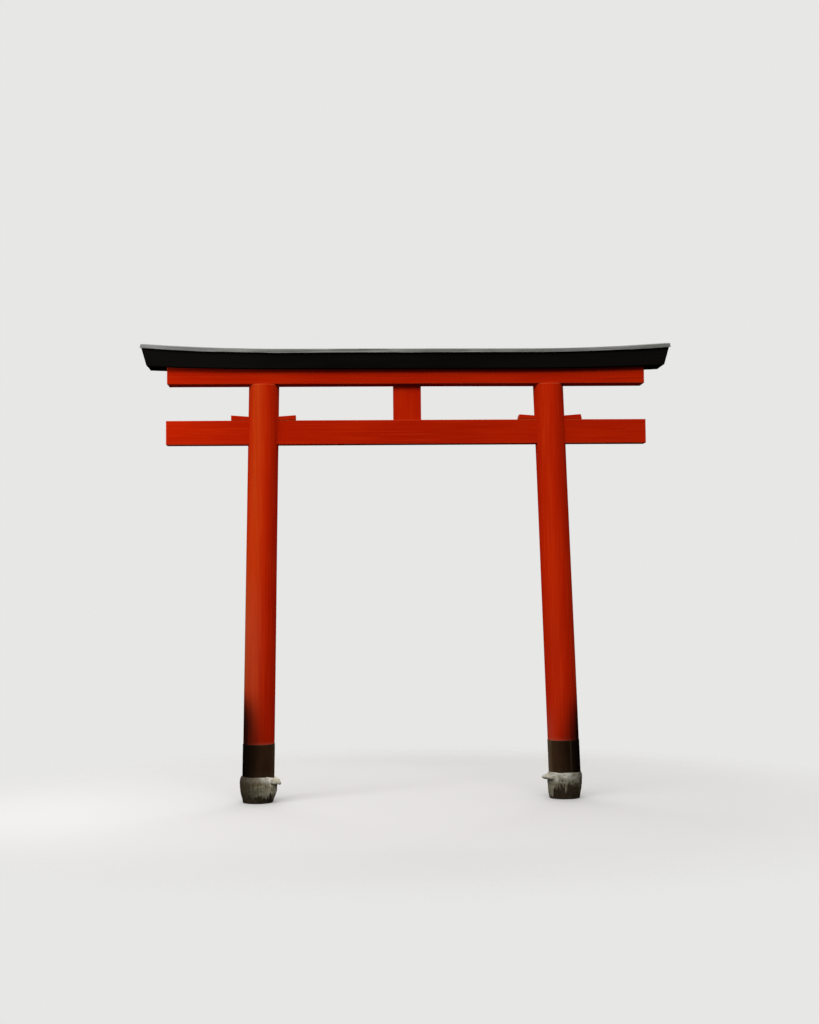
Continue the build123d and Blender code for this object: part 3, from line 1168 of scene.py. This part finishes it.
def floor_finish():
    """Pale where it is seen, darker as a source of bounced light, and fading out away from the gate."""
    material = bpy.data.materials.new("floor")
    material.use_nodes = True
    ground = Nodes(material.node_tree)
    shader = ground.tree.nodes["Principled BSDF"]
    seen = ground.background_ray()
    colour = ground.mix(seen, BOUNCING, PALE)
    ground.fill(shader, {"Base Color": colour, "Roughness": 1.0, "Specular IOR Level": 0.0})
    place = ground.node("ShaderNodeNewGeometry").outputs["Position"]
    middle = Vector((gate_middle_x, 0, 0))
    distance = ground.node("ShaderNodeVectorMath", place, middle, operation="DISTANCE").outputs["Value"]
    fade = ground.times(seen, ground.ramp(distance, fade_start, fade_end))
    nothing = ground.node("ShaderNodeBsdfTransparent").outputs[0]
    surface = ground.mix_shaders(fade, shader.outputs[0], nothing)
    ground.put(surface, ground.tree.nodes["Material Output"].inputs["Surface"])
    return material


def studio_world():
    """Soft light from above, and an even pale backdrop where it is seen."""
    world = bpy.data.worlds.new("studio")
    world.use_nodes = True
    sky = Nodes(world.node_tree)
    ambient = sky.tree.nodes["Background"]
    height = sky.upward_part(sky.node("ShaderNodeTexCoord").outputs["Generated"])
    strength = sky.ramp(height, sin(low_sky), sin(high_sky), low_sky_strength, high_sky_strength)
    sky.fill(ambient, {"Color": WARM_WHITE, "Strength": strength})
    backdrop = sky.node("ShaderNodeBackground", BACKDROP).outputs[0]
    surface = sky.mix_shaders(sky.background_ray(), ambient.outputs[0], backdrop)
    sky.put(surface, sky.tree.nodes["World Output"].inputs["Surface"])
    return world


floor_mesh.materials.append(floor_finish())
bpy.context.scene.world = studio_world()

light_middle = Vector((gate_middle_x, 0, 1.3))


def softbox(name, azimuth, elevation, distance, size, aim, power):
    """A soft lamp round the gate's middle. Azimuth 0 is in front, and positive to the right."""
    turn = radians(azimuth)
    lift = radians(elevation)
    back = Vector((sin(turn) * cos(lift), -cos(turn) * cos(lift), sin(lift)))
    data = bpy.data.lights.new(name, "AREA")
    data.shape = "RECTANGLE"
    data.size, data.size_y = size
    data.energy = power
    lamp = added(name, data)
    lamp.location = light_middle + back * distance
    lamp.rotation_euler = (Vector(aim) - lamp.location).to_track_quat("-Z", "Y").to_euler()
    lamp.visible_camera = False


softbox("key", -13, 42, distance=10.0, size=(13.0, 3.6), aim=(1.09, 0, -3.0), power=918)
softbox("side", -66, 12, distance=2.5, size=(0.8, 0.8), aim=(-1.5, 0, 1.3), power=17)
softbox("rear", 180, 42, distance=7.5, size=(8.0, 3.0), aim=light_middle, power=330)

# The camera: its focal length in pixels of the tall picture, its place and its angles
picture_height = 1024
focal_pixels = 1500
camera_place = Vector((0.4108, -7.246, 0.9793))
camera_yaw = radians(-2.574)
camera_pitch = radians(3.17)
camera_roll = radians(0.549)


def make_camera():
    data = bpy.data.cameras.new("camera")
    data.lens = focal_pixels / picture_height * data.sensor_width
    camera = added("camera", data)
    forward = Vector((
        -sin(camera_yaw) * cos(camera_pitch),
        cos(camera_yaw) * cos(camera_pitch),
        sin(camera_pitch),
    ))
    level = Vector((cos(camera_yaw), sin(camera_yaw), 0))
    up = level.cross(forward)
    right = cos(camera_roll) * level - sin(camera_roll) * up
    up = sin(camera_roll) * level + cos(camera_roll) * up
    turned = Matrix((right, up, -forward)).transposed().to_4x4()
    camera.matrix_world = Matrix.Translation(camera_place) @ turned
    bpy.context.scene.camera = camera


make_camera()
bpy.context.scene.view_settings.view_transform = "Standard"
